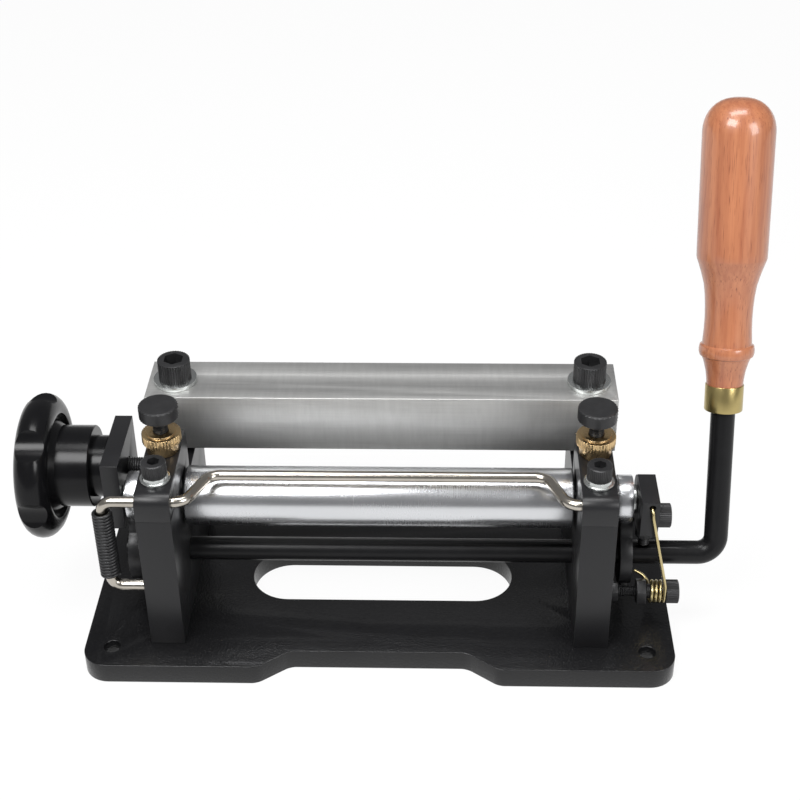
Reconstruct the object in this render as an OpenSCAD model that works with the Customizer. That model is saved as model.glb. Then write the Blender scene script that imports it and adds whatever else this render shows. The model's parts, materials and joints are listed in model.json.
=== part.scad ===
// Bench splitting machine for leather. A hand lever turns two cams that lift a polished roller
// towards a blade, which is clamped under a heavy bar across two posts.
// The origin is the centre of the base's underside; +X runs along the roller, -Y is the
// operator's side, and +Z is up. All sizes are in millimetres.

/* [Base plate] */
// Length of the base plate
base_w = 320; // [300:1:360]
// Depth of the base plate, front to back
base_d = 145; // [138:1:170]
// Thickness of the base plate
base_t = 12; // [8:1:20]
// Corner radius of the base plate
base_corner_r = 14; // [6:1:20]
// Length of the front recess at its mouth
recess_mouth_w = 130; // [112:1:150]
// Length of the front recess at its back
recess_back_w = 96; // [70:1:108]
// Depth of the front recess
recess_depth = 12.7; // [6:0.1:14]
// Length of the window through the base
window_w = 148; // [120:1:170]
// Depth of the window through the base
window_d = 43; // [30:1:48]
// Place of the window's centre along Y
window_y = 4; // [0:0.5:8]
// Diameter of the mounting holes
mount_hole_d = 9; // [5:0.5:11]
// Distance of a mounting hole from the base's end
mount_hole_end = 15; // [10:0.5:18]
// Distance of a mounting hole from the base's long edge
mount_hole_edge = 15; // [10:0.5:18]

/* [Posts and caps] */
// Clear width between the posts
throat_w = 211; // [190:1:220]
// Thickness of a post
post_w = 18.5; // [16:0.5:20]
// Place of the posts' front faces
post_front_y = -54.5; // [-58:0.5:-52]
// Depth of a post, front to back
post_d = 110; // [106:1:116]
// Height of the seam between a post and its cap
seam_z = 96; // [92:0.5:98]
// Thickness of a cap
cap_t = 15; // [13:0.5:18]
// Depth of a cap, front to back
cap_d = 62; // [56:0.5:63]
// Radius of a cap's front nose
cap_nose_r = 6.5; // [3:0.5:7]
// Distance of the cap screws behind the posts' front face
cap_screw_back = 17; // [15:0.5:20]

/* [Roller] */
// Diameter of the roller
roller_d = 32.5; // [28:0.5:35]
// Play between the roller's ends and the posts
roller_end_play = 1.2; // [0.5:0.1:2]
// Height of the roller's axis at rest
roller_z = 80.5; // [79:0.5:82]
// Place of the roller's axis and the lever's axis along Y
roller_y = -11; // [-13:0.5:-9]
// Diameter of the roller's axle inside the roller
axle_d = 14; // [12.5:0.5:18]
// Diameter of the roller's journals
journal_d = 10; // [8:0.5:11]
// Lift of the roller over the lever's travel
roller_lift = 2.4; // [1:0.1:2.4]
// Outer diameter of the ball bearings
bearing_d = 26; // [24:0.5:28]
// Width of the ball bearings
bearing_w = 8; // [6:0.5:8]

/* [Lever] */
// Height of the lever's axis
lever_z = 43.4; // [42:0.2:45]
// Diameter of the lever rod
lever_d = 13; // [10:0.5:13]
// Place of the lever's arm along X
lever_arm_x = 184.7; // [180:0.1:200]
// Radius of the lever's bend, at the rod's centre
lever_bend_r = 10; // [8:0.5:16]
// Lean of the lever's arm towards the back
lever_lean = 18.4; // [0:0.1:25]
// Distance from the lever's axis to the ferrule
ferrule_start = 82; // [70:1:100]
// Length of the ferrule
ferrule_len = 14.5; // [10:0.5:20]
// Diameter of the ferrule
ferrule_d = 20.4; // [18:0.2:22]
// Length of the wooden grip
grip_len = 151; // [120:1:170]
// Largest diameter of the wooden grip
grip_d = 37.4; // [32:0.2:42]
// Travel of the lever in degrees
lever_travel = 85; // [60:1:85]
// Width of a cam along the lever's axis
cam_w = 6.5; // [5:0.5:6.5]
// Base radius of a cam
cam_base_r = 17.2; // [14:0.2:18]

/* [Blade and bar] */
// Length of the bar
bar_w = 259.5; // [252:0.5:280]
// Depth of the bar, front to back
bar_d = 36.5; // [34:0.5:40]
// Height of the bar
bar_h = 34; // [25:0.5:45]
// Place of the bar's front face
bar_front_y = 23.4; // [20:0.2:25]
// Thickness of the blade
blade_t = 3.8; // [2:0.2:5]
// Length of the blade's ground bevel
blade_bevel = 11; // [6:0.5:12]
// Diameter of the bar bolts
bar_bolt_d = 12; // [10:0.5:12.5]

/* [Guide rod] */
// Diameter of the guide rod
guide_d = 6; // [5:0.5:6.5]
// Distance from the guide rod's bore to its middle length
guide_reach = 26; // [22:0.5:27]
// Height of the guide rod's middle length above its bore
guide_rise = -2; // [-3:0.5:2]
// Radius of the guide rod's S-bends, at the rod's centre
guide_bend_r = 9; // [5:0.5:9]
// Angle of the guide rod's S-bends
guide_bend_deg = 70; // [60:1:75]
// Radius of the guide rod's end bend
guide_end_r = 6; // [5:0.5:7]
// Place of the guide spring's axis along X
guide_spring_x = -142.5; // [-146:0.5:-140]
// Outer diameter of the guide spring
guide_spring_d = 10.8; // [10.2:0.1:11.2]
// Wire diameter of the guide spring
guide_wire_d = 1.6; // [1.2:0.1:1.7]
// Pitch of the guide spring's curls
guide_pitch = 2.06; // [2.06:0.01:2.4]
// Number of curls in the guide spring
guide_curls = 21; // [12:1:22]

/* [Adjusting screws] */
// Shank diameter of the thumb screws
thumb_d = 8; // [6:0.5:8]
// Head diameter of the thumb screws
thumb_head_d = 21; // [16:0.5:24]
// Head height of the thumb screws
thumb_head_h = 7.5; // [5:0.5:10]
// Height of the top of the thumb screws
thumb_top_z = 140; // [136:0.5:146]
// Hub diameter of the lock nuts
nut_hub_d = 17; // [14:0.5:18]
// Rim diameter of the lock nuts
nut_rim_d = 21; // [18:0.5:23]
// Height of the lock nuts
nut_h = 12.5; // [9:0.5:14]

/* [Roller lock] */
// Diameter of the hand knob
knob_d = 80; // [60:1:86]
// Thickness of the hand knob's rim
knob_rim_t = 18; // [12:0.5:20]
// Diameter of the lock stud
stud_d = 10; // [8:0.5:10]
// Place of the lock stud along Y
stud_y = 7; // [6:0.5:9]
// Height of the lock stud
stud_z = 86.5; // [85:0.5:88]
// Thickness of the lock plate
lock_plate_t = 9.6; // [8:0.2:10]
// Depth of the lock plate, front to back
lock_plate_d = 48; // [44:1:50]
// Height of the lock plate
lock_plate_h = 42; // [40:1:44]

/* [Return spring] */
// Wire diameter of the return spring
return_wire_d = 1.8; // [1.4:0.1:2]
// Pitch of the return spring's curls
return_pitch = 2.3; // [2.25:0.05:2.4]
// Mean radius of the return spring's curls
return_mean_r = 5.6; // [5.2:0.1:6]
// Place of the return spring's axis along Y
return_y = -30; // [-31:0.5:-29]
// Height of the return spring's axis
return_z = 31.4; // [30:0.2:32]
// Thickness of the hold-down block
block_t = 9.4; // [8:0.2:10]

/* [Hidden] */
$fn = 64;

// Clearances: a running fit, the play between bodies that pass each other, and a screw's hole
fit_gap = 0.05;
body_gap = 0.3;
hole_gap = 0.25;
sheet_gap = 0.1;
eps = 0.01;

post_in_x = throat_w / 2;
post_out_x = post_in_x + post_w;
post_mid_x = post_in_x + post_w / 2;
post_back_y = post_front_y + post_d;
cap_top_z = seam_z + cap_t;
cap_back_y = post_front_y + cap_d;
cap_screw_y = post_front_y + cap_screw_back;
guide_bore_y = post_front_y + cap_nose_r + 0.5;
guide_bore_z = cap_top_z - cap_nose_r - 0.5;
guide_spring_top_z = guide_bore_z - guide_end_r - 0.5;
guide_spring_z0 = guide_spring_top_z - guide_curls * guide_pitch;
guide_pin_z = guide_spring_z0 - guide_end_r - 0.5;
guide_leg_in = 12;
guide_arm = norm([guide_reach, guide_rise]);
guide_tilt = atan2(guide_rise, guide_reach);
mount_x = base_w / 2 - mount_hole_end;
mount_y = base_d / 2 - mount_hole_edge;

// The bar sits on the blade, and the blade on the posts' shelves
shelf_z = 83;
blade_z0 = shelf_z + sheet_gap;
bar_z0 = blade_z0 + blade_t + sheet_gap;
bar_bolt_y = bar_front_y + 17;
blade_front_y = bar_front_y + 0.6;
blade_back_y = bar_front_y + bar_d - 2;
post_screw_y = 34;

roller_len = throat_w - 2 * roller_end_play;
bearing_in_x = post_out_x + 4.2;
bearing_out_x = bearing_in_x + bearing_w;
washer_t = 2;
plate_in_x = bearing_out_x + washer_t + 0.6;
cam_in_x = post_out_x + 7;
// Height of a cam's lobe under the bearing at rest
cam_lobe_r = roller_z - bearing_d / 2 - lever_z - 0.25;

m8_head_d = 13;
m8_head_h = 8;
return_screw_x = post_out_x + 32.2;

function unit(v) = v / norm(v);

module along_x(x, y, z) translate([x, y, z]) rotate([0, 90, 0]) children();
module rod_x(r, x0, x1, y, z) along_x(x0, y, z) cylinder(r = r, h = x1 - x0);
// Draws its children on the right, and mirrored on the left where s is -1
module on_side(s) mirror([s < 0 ? 1 : 0, 0, 0]) children();

// A socket head screw: the head stands on z = 0 and the shank hangs below
module socket_screw(d, head_d, head_h, len, key) {
    difference() {
        rotate_extrude()
            polygon([[0, 0], [head_d / 2, 0], [head_d / 2, head_h - 0.6],
                     [head_d / 2 - 0.6, head_h], [0, head_h]]);
        translate([0, 0, head_h * 0.45]) cylinder(d = key / cos(30), h = head_h, $fn = 6);
    }
    translate([0, 0, -len]) cylinder(d = d, h = len + eps);
}
module washer(od, id, h) difference() {
    cylinder(d = od, h = h);
    translate([0, 0, -1]) cylinder(d = id, h = h + 2);
}
module hex_nut(af, id, h) difference() {
    cylinder(d = af / cos(30), h = h, $fn = 6);
    translate([0, 0, -1]) cylinder(d = id, h = h + 2);
}
// A cylinder with straight knurling: teeth of the given depth round its edge
module knurled(d, h, teeth, depth) linear_extrude(h)
    polygon([for (i = [0 : 2 * teeth - 1]) let (r = d / 2 - (i % 2) * depth, a = i * 180 / teeth)
        [r * cos(a), r * sin(a)]]);

// The base's outline: a rectangle with rounded corners
module base_outline() {
    w = base_w / 2 - base_corner_r;
    d = base_d / 2 - base_corner_r;
    square([base_w, 2 * d], center = true);
    square([2 * w, base_d], center = true);
    for (sx = [-1, 1], sy = [-1, 1]) translate([sx * w, sy * d]) circle(base_corner_r);
}
// The trapezoid recess in the front edge
module edge_recess() {
    y = base_d / 2;
    polygon([[-recess_mouth_w / 2, -y - 1], [-recess_mouth_w / 2, -y],
             [-recess_back_w / 2, -y + recess_depth], [recess_back_w / 2, -y + recess_depth],
             [recess_mouth_w / 2, -y], [recess_mouth_w / 2, -y - 1]]);
}
module window_outline() {
    half = (window_w - window_d) / 2;
    translate([0, window_y]) {
        square([2 * half, window_d], center = true);
        for (s = [-1, 1]) translate([s * half, 0]) circle(d = window_d);
    }
}
module base_plate() color("#1c1c1e") difference() {
    linear_extrude(base_t) difference() {
        base_outline();
        edge_recess();
        window_outline();
    }
    for (sx = [-1, 1], sy = [-1, 1]) {
        translate([sx * mount_x, sy * mount_y, -1]) cylinder(d = mount_hole_d, h = base_t + 2);
        translate([sx * post_mid_x, sy * post_screw_y, -1])
            cylinder(d = m8_head_d + 1, h = base_t * 0.5 + 1);
        translate([sx * post_mid_x, sy * post_screw_y, 0])
            cylinder(d = 8 + 2 * hole_gap, h = base_t + 1);
    }
}

// A post: the side outline, drilled for the journal, the lever and the screws
module post_side_outline() polygon([
    [post_front_y, base_t], [post_back_y, base_t], [post_back_y, shelf_z],
    [cap_back_y, shelf_z], [cap_back_y, seam_z], [post_front_y, seam_z]]);
module post_block() difference() {
    translate([post_in_x, 0, 0]) rotate([90, 0, 90]) linear_extrude(post_w) post_side_outline();
    // Open slot for the roller's journal, closed above by the cap
    rod_x(journal_d / 2 + 0.4, post_in_x - 1, post_out_x + 1, roller_y, roller_z);
    translate([post_in_x - 1, roller_y - journal_d / 2 - 0.4, roller_z])
        cube([post_w + 2, journal_d + 0.8, seam_z - roller_z + 1]);
    rod_x(lever_d / 2 + fit_gap, post_in_x - 1, post_out_x + 1, roller_y, lever_z);
    for (sy = [-1, 1]) translate([post_mid_x, sy * post_screw_y, base_t - 1])
        cylinder(d = 8 + 2 * fit_gap, h = 17);
    translate([post_mid_x, cap_screw_y, seam_z - 14]) cylinder(d = 8 + 2 * fit_gap, h = 15);
    translate([post_mid_x, bar_bolt_y, shelf_z - 26])
        cylinder(d = bar_bolt_d + 2 * fit_gap, h = 27);
}
module left_post() color("#1c1c1e") difference() {
    on_side(-1) post_block();
    rod_x(stud_d / 2 + fit_gap, -post_out_x - 1, -post_out_x + 13, stud_y, stud_z);
    rod_x(guide_d / 2 + fit_gap, -post_out_x - 1, -post_out_x + 10, guide_bore_y,
          guide_pin_z);
}
module right_post() color("#1c1c1e") difference() {
    post_block();
    rod_x(3 + fit_gap, post_out_x - 12, post_out_x + 1, return_y, return_z);
}

// A cap closes the journal's slot and holds the guide rod and a thumb screw
module cap() color("#1c1c1e") difference() {
    translate([post_in_x, 0, 0]) rotate([90, 0, 90]) linear_extrude(post_w) {
        translate([post_front_y + cap_nose_r, seam_z])
            square([cap_d - cap_nose_r, cap_t]);
        translate([post_front_y, seam_z]) square([cap_nose_r, cap_t - cap_nose_r]);
        translate([post_front_y + cap_nose_r, cap_top_z - cap_nose_r]) circle(cap_nose_r);
    }
    rod_x(guide_d / 2 + fit_gap, post_in_x - 1, post_out_x + 1, guide_bore_y, guide_bore_z);
    translate([post_mid_x, cap_screw_y, seam_z - 1])
        cylinder(d = 8 + 2 * hole_gap, h = cap_t + 2);
    translate([post_mid_x, roller_y, seam_z - 1])
        cylinder(d = thumb_d + 2 * fit_gap, h = cap_t + 2);
}
module left_cap() on_side(-1) cap();
module right_cap() cap();

module post_screws() color("#2a2a2c") for (sx = [-1, 1], sy = [-1, 1])
    translate([sx * post_mid_x, sy * post_screw_y, base_t * 0.5]) rotate([180, 0, 0])
        socket_screw(8, m8_head_d, base_t * 0.5 - 0.4, base_t * 0.5 + 14, 5);
module cap_screws() color("#2a2a2c") for (s = [-1, 1])
    translate([s * post_mid_x, cap_screw_y, cap_top_z + 3.8])
        socket_screw(8, m8_head_d, m8_head_h, cap_t + 3.8 + 12, 6);
// A flat washer under a split spring washer
module cap_washers() color("#b8b4a8") for (s = [-1, 1])
    translate([s * post_mid_x, cap_screw_y, cap_top_z]) {
        washer(16, 8.4, 1.6);
        translate([0, 0, 1.6]) difference() {
            washer(13.6, 8.4, 2.2);
            rotate(35) translate([0, -0.5, -1]) cube([10, 1, 5]);
        }
    }

module bar() color("#9a9da0") difference() {
    translate([-bar_w / 2, bar_front_y, bar_z0]) cube([bar_w, bar_d, bar_h]);
    for (s = [-1, 1]) translate([s * post_mid_x, bar_bolt_y, bar_z0 - 1])
        cylinder(d = bar_bolt_d + 2 * hole_gap, h = bar_h + 2);
}
// The blade: a ground bevel in front, and open slots behind for its adjustment
module blade() color("#c9ccd0") difference() {
    translate([-bar_w / 2 + 2, 0, 0]) rotate([90, 0, 90]) linear_extrude(bar_w - 4)
        polygon([[blade_front_y, blade_z0 + blade_t], [blade_front_y, blade_z0 + blade_t - 0.2],
                 [blade_front_y + blade_bevel, blade_z0], [blade_back_y, blade_z0],
                 [blade_back_y, blade_z0 + blade_t]]);
    for (s = [-1, 1]) translate([s * post_mid_x, bar_bolt_y, blade_z0 - 1]) {
        cylinder(r = bar_bolt_d / 2 + body_gap, h = blade_t + 2);
        translate([-bar_bolt_d / 2 - body_gap, 0, 0])
            cube([bar_bolt_d + 2 * body_gap, bar_d, blade_t + 2]);
    }
}
module bar_bolts() color("#2a2a2c") for (s = [-1, 1])
    translate([s * post_mid_x, bar_bolt_y, bar_z0 + bar_h + 2.4])
        socket_screw(bar_bolt_d, 18, 12, bar_h + 2.4 + blade_t + 22, 10);
module bar_washers() color("#c4c6c8") for (s = [-1, 1])
    translate([s * post_mid_x, bar_bolt_y, bar_z0 + bar_h])
        washer(24, bar_bolt_d + 2 * hole_gap, 2.4);

module roller() color("#c8cacc") difference() {
    along_x(-roller_len / 2, roller_y, roller_z) rotate_extrude($fn = 96)
        polygon([[0, 0], [roller_d / 2 - 0.8, 0], [roller_d / 2, 0.8],
                 [roller_d / 2, roller_len - 0.8], [roller_d / 2 - 0.8, roller_len],
                 [0, roller_len]]);
    rod_x(axle_d / 2, -roller_len, roller_len, roller_y, roller_z);
}
// The axle turns in both bearings, the lock plate and the hold-down block
module roller_axle() color("#b4b6b8") {
    rod_x(axle_d / 2, -roller_len / 2, roller_len / 2, roller_y, roller_z);
    rod_x(journal_d / 2, -plate_in_x - lock_plate_t + 0.6, plate_in_x + block_t - 0.6,
          roller_y, roller_z);
    for (s = [-1, 1]) along_x(s > 0 ? post_out_x + 1 : -bearing_in_x + 0.1, roller_y, roller_z)
        cylinder(d = axle_d, h = bearing_in_x - post_out_x - 1.1);
}
// A sealed ball bearing: both rings, with a recessed shield between them
module bearing_section() difference() {
    translate([journal_d / 2 + fit_gap, 0])
        square([(bearing_d - journal_d) / 2 - fit_gap, bearing_w]);
    for (x = [-1, bearing_w - 0.7]) translate([journal_d / 2 + 2, x])
        square([(bearing_d - journal_d) / 2 - 4.4, 1.7]);
}
module bearing() color("#aeb1b4") along_x(bearing_in_x, roller_y, roller_z)
    rotate_extrude() bearing_section();
module left_bearing() on_side(-1) bearing();
module right_bearing() bearing();
module journal_washers() color("#c4c6c8") for (s = [-1, 1]) on_side(s)
    along_x(bearing_out_x + 0.1, roller_y, roller_z)
        washer(16, journal_d + 2 * fit_gap, washer_t);

// The lever is drawn about its own axis, with its arm upright, and then leaned back
module on_lever() translate([0, roller_y, lever_z]) rotate([-lever_lean, 0, 0]) children();
module lever_rod() color("#18181a") difference() {
    straight_x = lever_arm_x - lever_bend_r;
    on_lever() {
        rod_x(lever_d / 2, -cam_in_x - cam_w - 3, straight_x, 0, 0);
        translate([straight_x, 0, lever_bend_r]) rotate([90, 0, 0]) rotate([0, 0, -90])
            rotate_extrude(angle = 90) translate([lever_bend_r, 0]) circle(d = lever_d);
        translate([lever_arm_x, 0, lever_bend_r])
            cylinder(d = lever_d, h = ferrule_start + ferrule_len + 40 - lever_bend_r);
    }
    translate([striker_x, roller_y, lever_z + striker_hole_z])
        cylinder(d = striker_d + 2 * fit_gap, h = lever_d);
}
module lever_ferrule() color("#c9a54a") on_lever() translate([lever_arm_x, 0, ferrule_start])
    rotate_extrude() polygon([
        [lever_d / 2 + fit_gap, 0], [ferrule_d / 2 - 0.5, 0], [ferrule_d / 2, 0.5],
        [ferrule_d / 2, ferrule_len], [lever_d / 2 + fit_gap, ferrule_len]]);
// The turned grip: share of its length, and share of its largest radius
grip_turns = [[0, 0.52], [0.04, 0.55], [0.075, 0.6], [0.104, 0.68], [0.108, 0.75], [0.128, 0.78],
              [0.146, 0.75], [0.15, 0.7], [0.19, 0.675], [0.26, 0.665], [0.33, 0.70],
              [0.38, 0.79], [0.42, 0.89], [0.45, 0.975], [0.475, 0.985], [0.7, 0.995]];
grip_dome = 0.115;
module lever_grip() color("#b5714a") on_lever()
    translate([lever_arm_x, 0, ferrule_start + ferrule_len]) rotate_extrude()
        difference() {
            polygon(concat(
                [[0, 0]], [for (p = grip_turns) [p[1] * grip_d / 2, p[0] * grip_len]],
                [for (a = [0 : 10 : 80]) [grip_d / 2 * cos(a) ^ 0.8,
                    grip_len * (1 - grip_dome + grip_dome * sin(a))]],
                [[0, grip_len]]));
            square([2 * (lever_d / 2 + fit_gap), 2 * 41], center = true);
        }

// A cam's profile: the lobe climbs evenly over the lever's travel, then falls to the base radius
lobe_front = 96;
lobe_back = -18;
function lobe_r(a) = cam_lobe_r + roller_lift * (90 - a) / lever_travel;
function fall(a0, width, a) = let (t = min(1, abs(a - a0) / width))
    cam_base_r + (lobe_r(a0) - cam_base_r) * (0.5 + 0.5 * cos(180 * t));
function cam_r(a) = a > lobe_front ? fall(lobe_front, 20, a)
    : a < lobe_back ? fall(lobe_back, 40, a) : lobe_r(a);
cam_screw_deg = 250;
module cam() color("#2b2b2d") difference() {
    translate([cam_in_x, roller_y, lever_z]) rotate([90, 0, 90]) linear_extrude(cam_w)
        polygon([for (i = [0 : 3 : 357]) let (a = i > 180 + 60 ? i - 360 : i)
            cam_r(a) * [cos(i), sin(i)]]);
    rod_x(lever_d / 2, 0, 200, roller_y, lever_z);
    cam_screw_way(cam_base_r + 2) cylinder(r = 3 + fit_gap, h = 20);
}
// Places a child down the cam's set screw hole, from its mouth towards the lever
module cam_screw_way(mouth) translate([cam_in_x + cam_w / 2, roller_y, lever_z])
    rotate([cam_screw_deg - 90, 0, 0]) translate([0, 0, mouth]) rotate([180, 0, 0]) children();
module left_cam() on_side(-1) cam();
module right_cam() cam();
module cam_set_screws() color("#3a3a3c") for (s = [-1, 1]) on_side(s)
    cam_screw_way(cam_base_r + 1.6) difference() {
        cylinder(r = 3, h = cam_base_r + 1.6 - lever_d / 2);
        translate([0, 0, -1]) cylinder(d = 3 / cos(30), h = 3.5, $fn = 6);
    }
// The striker stands in a hole in the lever, and meets the spring screw's nut at the end of the
// travel
striker_x = return_screw_x - 11.4;
striker_d = 6;
striker_seat_z = 12.6;
striker_hole_z = 1.5;
module striker_screw() color("#2a2a2c")
    translate([striker_x, roller_y, lever_z + striker_seat_z])
        socket_screw(striker_d, 10, 6, striker_seat_z - striker_hole_z - sheet_gap, 5);

// Thumb screws: the shank ends just over the journal at its highest
thumb_tip_z = roller_z + roller_lift + journal_d / 2 + 0.5;
module thumb_shank() color("#2a2a2c") translate([post_mid_x, roller_y, thumb_tip_z])
    cylinder(d = thumb_d, h = thumb_top_z - thumb_head_h - thumb_tip_z);
module left_thumb_shank() on_side(-1) thumb_shank();
module right_thumb_shank() thumb_shank();
module thumb_head() color("#2f2f31")
    translate([post_mid_x, roller_y, thumb_top_z - thumb_head_h]) {
        translate([0, 0, 0.6]) knurled(thumb_head_d, thumb_head_h - 1.2, 44, 0.5);
        cylinder(d = thumb_head_d - 2, h = thumb_head_h);
    }
module left_thumb_head() on_side(-1) thumb_head();
module right_thumb_head() thumb_head();
// Brass lock nut: a plain hub, a knurled rim and a small boss
module lock_nut() color("#b98a3c") translate([post_mid_x, roller_y, cap_top_z + 0.2]) difference() {
    union() {
        cylinder(d = nut_hub_d, h = nut_h - 1);
        translate([0, 0, nut_h / 2]) knurled(nut_rim_d, nut_h / 2 - 1, 40, 0.5);
        translate([0, 0, nut_h / 2 + 1]) cylinder(d = nut_hub_d - 1, h = nut_h / 2 - 1);
    }
    translate([0, 0, -1]) cylinder(d = thumb_d + 2 * fit_gap, h = nut_h + 2);
}
module left_lock_nut() on_side(-1) lock_nut();
module right_lock_nut() lock_nut();

// The guide rod lies in one plane, tilted about its bore, with an S-bend at each end. Its left
// end turns down into the guide spring.
guide_sides = 20;
guide_bend_x = post_in_x - 0.3;
guide_slope = (guide_arm - 2 * guide_bend_r * (1 - cos(guide_bend_deg))) / sin(guide_bend_deg);
guide_mid_x = guide_bend_x - 2 * guide_bend_r * sin(guide_bend_deg)
    - guide_slope * cos(guide_bend_deg);
bend_steps = 8;
function bend_angle(k) = guide_bend_deg * k / bend_steps;
// One S-bend's centre line, from the bore inwards: place along X, and distance from the bore
s_bend = concat(
    [for (k = [0 : bend_steps]) let (a = bend_angle(k))
        [guide_bend_x - guide_bend_r * sin(a), guide_bend_r * (1 - cos(a))]],
    [for (k = [bend_steps : -1 : 0]) let (a = bend_angle(k))
        [guide_mid_x + guide_bend_r * sin(a), guide_arm - guide_bend_r * (1 - cos(a))]]);
function tilted(x, y) = [x, y * cos(guide_tilt), y * sin(guide_tilt)];
guide_route = concat(
    [[guide_spring_x, 0, -guide_end_r - guide_leg_in]],
    [for (a = [0 : 15 : 90]) [guide_spring_x + guide_end_r * (1 - cos(a)), 0,
                              -guide_end_r * (1 - sin(a))]],
    [for (q = s_bend) tilted(-q[0], q[1])],
    [for (k = [len(s_bend) - 1 : -1 : 0]) tilted(s_bend[k][0], s_bend[k][1])],
    [[post_out_x - 1, 0, 0]]);
module guide_rod() color("#cfcabf") translate([0, guide_bore_y, guide_bore_z])
    wire(guide_route, guide_d, [0, 1, 0], guide_sides);
// A bend in the XY plane
module elbow(r, deg) rotate_extrude(angle = deg) translate([r, 0]) circle(d = guide_d);
module guide_spring_pin() color("#cfcabf") translate([guide_spring_x, guide_bore_y, guide_pin_z]) {
    rod_x(guide_d / 2, guide_end_r, -post_out_x + 9 - guide_spring_x, 0, 0);
    translate([guide_end_r, 0, guide_end_r]) rotate([90, 0, 0]) rotate(180)
        elbow(guide_end_r, 90);
    translate([0, 0, guide_end_r]) cylinder(d = guide_d, h = guide_leg_in);
}

// Wire forms: a tube along points, its rings carried along without twist
wire_sides = 6;
function tangent(p, i) = let (n = len(p) - 1) i == 0 ? unit(p[1] - p[0])
    : i == n ? unit(p[n] - p[n - 1]) : unit(unit(p[i + 1] - p[i]) + unit(p[i] - p[i - 1]));
function carried(p, n0, i = 0, out = []) = i == len(p) ? out
    : let (t = tangent(p, i), q = i == 0 ? n0 : out[i - 1], n = unit(q - (q * t) * t))
      carried(p, n0, i + 1, concat(out, [n]));
module wire(p, d, n0, sides = wire_sides) {
    normals = carried(p, n0);
    rings = [for (i = [0 : len(p) - 1]) let (n = normals[i], b = cross(tangent(p, i), n))
        for (k = [0 : sides - 1]) let (a = 360 * k / sides)
            p[i] + d / 2 * (cos(a) * n + sin(a) * b)];
    last = (len(p) - 1) * sides;
    polyhedron(rings, concat(
        [for (k = [1 : sides - 2]) [0, k, k + 1]],
        [for (k = [1 : sides - 2]) [last, last + k + 1, last + k]],
        [for (i = [0 : len(p) - 2], k = [0 : sides - 1])
            let (a = i * sides + k, b = i * sides + (k + 1) % sides)
                each [[a, a + sides, b + sides], [a, b + sides, b]]]),
        convexity = 10);
}
curl_steps = 8;
// Least gap between neighbouring curls, measured on the points
function curl_gap(p, d) = min([for (i = [0 : len(p) - 1 - curl_steps],
    k = [curl_steps - 1 : curl_steps + 1]) if (i + k < len(p)) norm(p[i + k] - p[i])]) - d;

guide_coil_r = (guide_spring_d - guide_wire_d) / 2;
guide_coil = [for (i = [0 : guide_curls * curl_steps - 4]) let (a = 360 * i / curl_steps)
    [guide_spring_x + guide_coil_r * cos(a), guide_bore_y + guide_coil_r * sin(a),
     guide_spring_z0 + guide_wire_d / 2 + i * guide_pitch / curl_steps]];
function with_ends(p, d) = let (n = len(p) - 1) concat(
    [p[0] - d * unit(p[1] - p[0])], p, [p[n] + d * unit(p[n] - p[n - 1])]);
module guide_spring() color("#1d1d1f") wire(with_ends(guide_coil, guide_wire_d), guide_wire_d,
    [1, 0, 0]);
echo(guide_spring_gap = curl_gap(guide_coil, guide_wire_d));

// The return spring: a long leg down from the block, the curls, and a short leg
return_curls = 3.5;
return_coil_x = return_screw_x - return_wire_d / 2 - 0.3;
return_coil = [for (i = [0 : return_curls * curl_steps]) let (a = 180 + 360 * i / curl_steps)
    [return_coil_x - i * return_pitch / curl_steps, return_y + return_mean_r * cos(a),
     return_z + return_mean_r * sin(a)]];
block_x0 = plate_in_x;
block_front_y = roller_y - 22.5;
block_top_z = roller_z + 14.2;
leg_hole = [block_x0 + 5.6, block_front_y, block_top_z - 3.2];
return_end_x = return_coil_x - return_curls * return_pitch;
return_long_leg = [
    leg_hole + [0, 3, 0], leg_hole + [0, 1, -0.2], leg_hole + [0.1, -0.6, -1],
    leg_hole + [0.3, -1.5, -2.4], leg_hole + [0.6, -1.9, -5],
    [return_coil_x, return_y - return_mean_r, return_z + 8]];
return_short_leg = [
    [return_end_x - 0.3, return_y + return_mean_r + 1, return_z + 2.2],
    [return_end_x - 2.8, return_y + return_mean_r + 2.6, return_z + 4.8],
    [block_x0 + 0.8, return_y + return_mean_r + 3, return_z + 7.6]];
module return_spring() color("#b9a65a")
    wire(concat(return_long_leg, return_coil, return_short_leg), return_wire_d, [1, 0, 0]);
echo(return_spring_gap = curl_gap(return_coil, return_wire_d));
// A shoulder screw carries the spring; its thread has two nuts
module spring_screw() color("#2a2a2c") {
    along_x(return_screw_x, return_y, return_z) socket_screw(8, m8_head_d, 7, 10.4, 6);
    rod_x(3, post_out_x - 11, return_screw_x - 10.4, return_y, return_z);
}
module spring_nuts() color("#3a3a3c") {
    along_x(post_out_x + 1.2, return_y, return_z) hex_nut(10, 6 + 2 * fit_gap, 5);
    along_x(return_screw_x - 16, return_y, return_z) hex_nut(12.8, 6 + 2 * fit_gap, 5);
}

// The hold-down block sits on the journal; the return spring pulls its front end
module hold_down_block() color("#1c1c1e") difference() {
    translate([block_x0, 0, 0]) rotate([90, 0, 90]) linear_extrude(block_t) {
        translate([roller_y, roller_z]) circle(13);
        polygon([[block_front_y, block_top_z], [block_front_y, block_top_z - 22],
                 [block_front_y + 6, block_top_z - 27], [roller_y, roller_z - 13],
                 [roller_y + 11, roller_z - 7], [roller_y + 11, roller_z + 7],
                 [roller_y + 3, block_top_z]]);
    }
    rod_x(journal_d / 2 + fit_gap, 0, 200, roller_y, roller_z);
    rod_x(4 + fit_gap, block_x0 + 1, 200, roller_y - 15.5, roller_z + 1);
    translate(leg_hole + [0, -1, 0]) rotate([-90, 0, 0]) cylinder(r = return_wire_d, h = 6);
}
module block_screw() color("#2a2a2c")
    along_x(block_x0 + block_t, roller_y - 15.5, roller_z + 1)
        socket_screw(8, m8_head_d, 7, 8, 6);

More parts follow.
